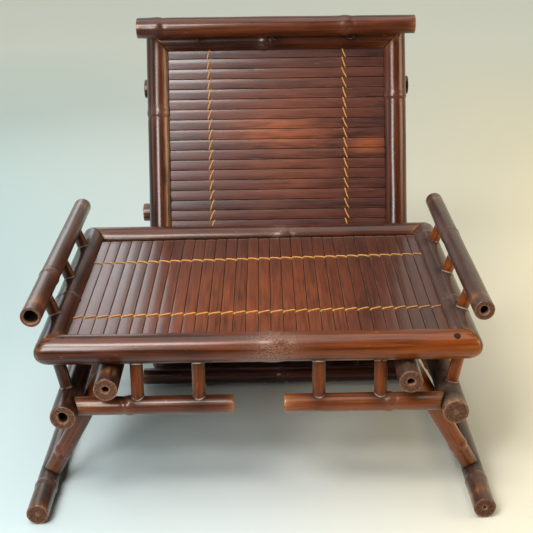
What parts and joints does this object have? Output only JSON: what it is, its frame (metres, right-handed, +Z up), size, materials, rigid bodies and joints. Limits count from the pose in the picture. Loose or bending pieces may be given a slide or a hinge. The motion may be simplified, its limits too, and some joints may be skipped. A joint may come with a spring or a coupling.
{
  "type": "photo album stand",
  "caption": "Bamboo stand with a slatted seat on two folding leg frames, arm galleries and a tilting slatted back for holding an open photo album.",
  "frame": {"origin": "on the floor, under the middle of the whole stand at rest, legs open and back leaning", "axes": "+Z up, +Y from the seat's front towards the back, +X to the right of someone facing the stand"},
  "size_m": [0.4138, 0.4684, 0.3778],
  "materials": {
    "dark_lacquer": "glossy dark red-brown lacquer on bamboo poles",
    "warm_lacquer": "glossy orange-brown lacquer on bamboo poles",
    "slat_lacquer": "satin red-brown lacquer on split bamboo slats",
    "stitching": "golden waxed stitching through the slats"
  },
  "bodies": {
    "seat": {"left_arm": "dark_lacquer", "left_arm_front_post": "dark_lacquer", "left_arm_middle_post": "dark_lacquer", "left_arm_rear_post": "dark_lacquer", "left_front_hanger": "warm_lacquer", "front_left_spindle_1": "dark_lacquer", "front_left_spindle_2": "dark_lacquer", "front_left_lower_rail": "warm_lacquer", "left_rear_hanger": "warm_lacquer", "rear_left_spindle_1": "dark_lacquer", "rear_left_spindle_2": "dark_lacquer", "rear_left_lower_rail": "warm_lacquer", "left_stop_pole": "dark_lacquer", "right_arm": "dark_lacquer", "right_arm_front_post": "dark_lacquer", "right_arm_middle_post": "dark_lacquer", "right_arm_rear_post": "dark_lacquer", "right_front_hanger": "warm_lacquer", "front_right_spindle_1": "dark_lacquer", "front_right_spindle_2": "dark_lacquer", "front_right_lower_rail": "warm_lacquer", "right_rear_hanger": "warm_lacquer", "rear_right_spindle_1": "dark_lacquer", "rear_right_spindle_2": "dark_lacquer", "rear_right_lower_rail": "warm_lacquer", "right_stop_pole": "dark_lacquer", "left_back_lug": "dark_lacquer", "right_back_lug": "dark_lacquer", "seat_front_rail": "dark_lacquer", "seat_rear_rail": "dark_lacquer", "seat_left_rail": "dark_lacquer", "seat_right_rail": "dark_lacquer", "seat_slats": "slat_lacquer"},
    "left_legs": {"left_pivot_pole": "dark_lacquer", "left_foot_pole": "dark_lacquer", "left_front_leg": "warm_lacquer", "left_rear_leg": "warm_lacquer"},
    "right_legs": {"right_pivot_pole": "dark_lacquer", "right_foot_pole": "dark_lacquer", "right_front_leg": "warm_lacquer", "right_rear_leg": "warm_lacquer"},
    "back": {"crest_pole": "dark_lacquer", "crest_left_post": "dark_lacquer", "crest_middle_post": "dark_lacquer", "crest_right_post": "dark_lacquer", "back_base_pole": "dark_lacquer", "base_left_post": "dark_lacquer", "base_right_post": "dark_lacquer", "back_left_side_rail": "dark_lacquer", "back_right_side_rail": "dark_lacquer", "back_stop_pole": "dark_lacquer", "back_left_upright": "dark_lacquer", "back_right_upright": "dark_lacquer", "back_top_rail": "dark_lacquer", "back_foot_rail": "dark_lacquer", "back_slats": "slat_lacquer"},
    "back_legs": {"back_pivot_pole": "dark_lacquer", "back_leg_foot_pole": "dark_lacquer", "back_left_leg": "warm_lacquer", "back_right_leg": "warm_lacquer"}
  },
  "joints": [
    {"name": "left_leg_fold", "type": "hinge", "parent": "seat", "child": "left_legs", "pos_m": [-0.128, -0.07322, 0.13311], "axis": [0, -1, 0], "range_deg": [0, 119.1]},
    {"name": "right_leg_fold", "type": "hinge", "parent": "seat", "child": "right_legs", "pos_m": [0.128, -0.07322, 0.13311], "axis": [0, 1, 0], "range_deg": [0, 109]},
    {"name": "back_tilt", "type": "hinge", "parent": "seat", "child": "back", "pos_m": [0, 0.09983, 0.13891], "axis": [1, 0, 0], "range_deg": [0, 50]},
    {"name": "back_leg_fold", "type": "hinge", "parent": "back", "child": "back_legs", "pos_m": [0.022, 0.18141, 0.29172], "axis": [1, 0, 0], "range_deg": [0, 119.1]}
  ]
}
